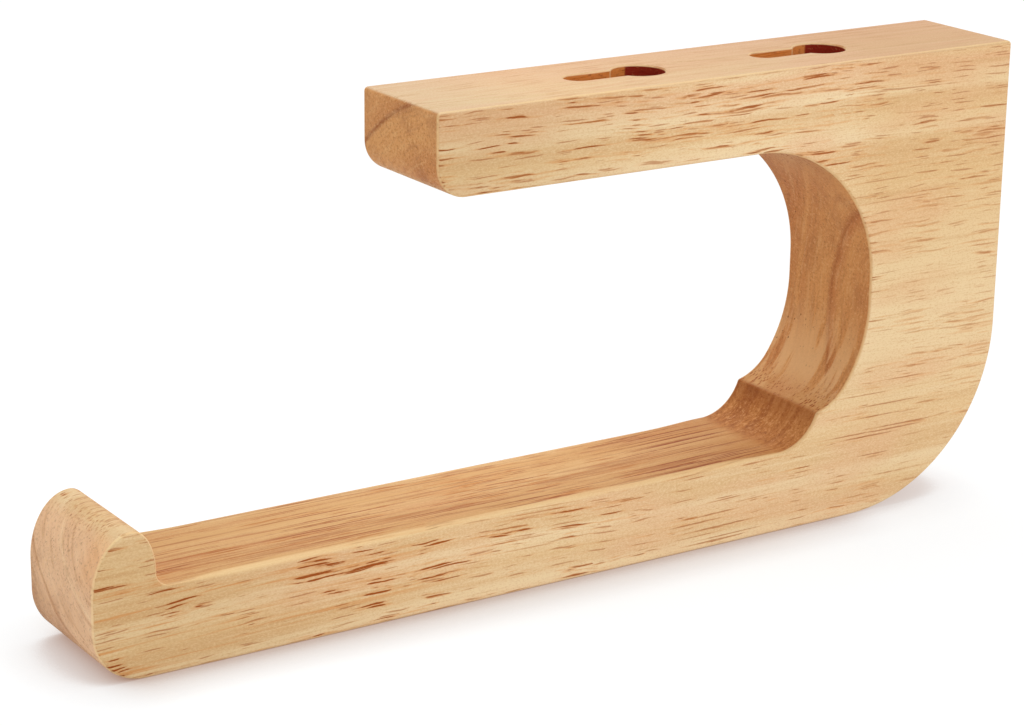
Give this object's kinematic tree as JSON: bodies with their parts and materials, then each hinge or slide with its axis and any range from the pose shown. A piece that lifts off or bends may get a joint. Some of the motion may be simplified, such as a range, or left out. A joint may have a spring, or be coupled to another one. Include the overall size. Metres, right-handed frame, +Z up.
{
  "type": "toilet roll holder",
  "caption": "Wooden toilet roll holder cut from one board: a short upper arm with a flat keyhole wall face, a bridge, and a long lower arm with a raised lip.",
  "frame": {"origin": "centre of the footprint on the underside of the long lower arm", "axes": "+X along both arms, from the lip towards the bridge; +Y across the board, from its front face to its back face; +Z up, from the lower arm to the wall face with the keyholes"},
  "size_m": [0.173, 0.0224, 0.08],
  "materials": {
    "wood": "fine sanded pale hardwood with open pores, lightly oiled"
  },
  "bodies": {
    "root": {"holder_body": "wood"}
  },
  "joints": []
}
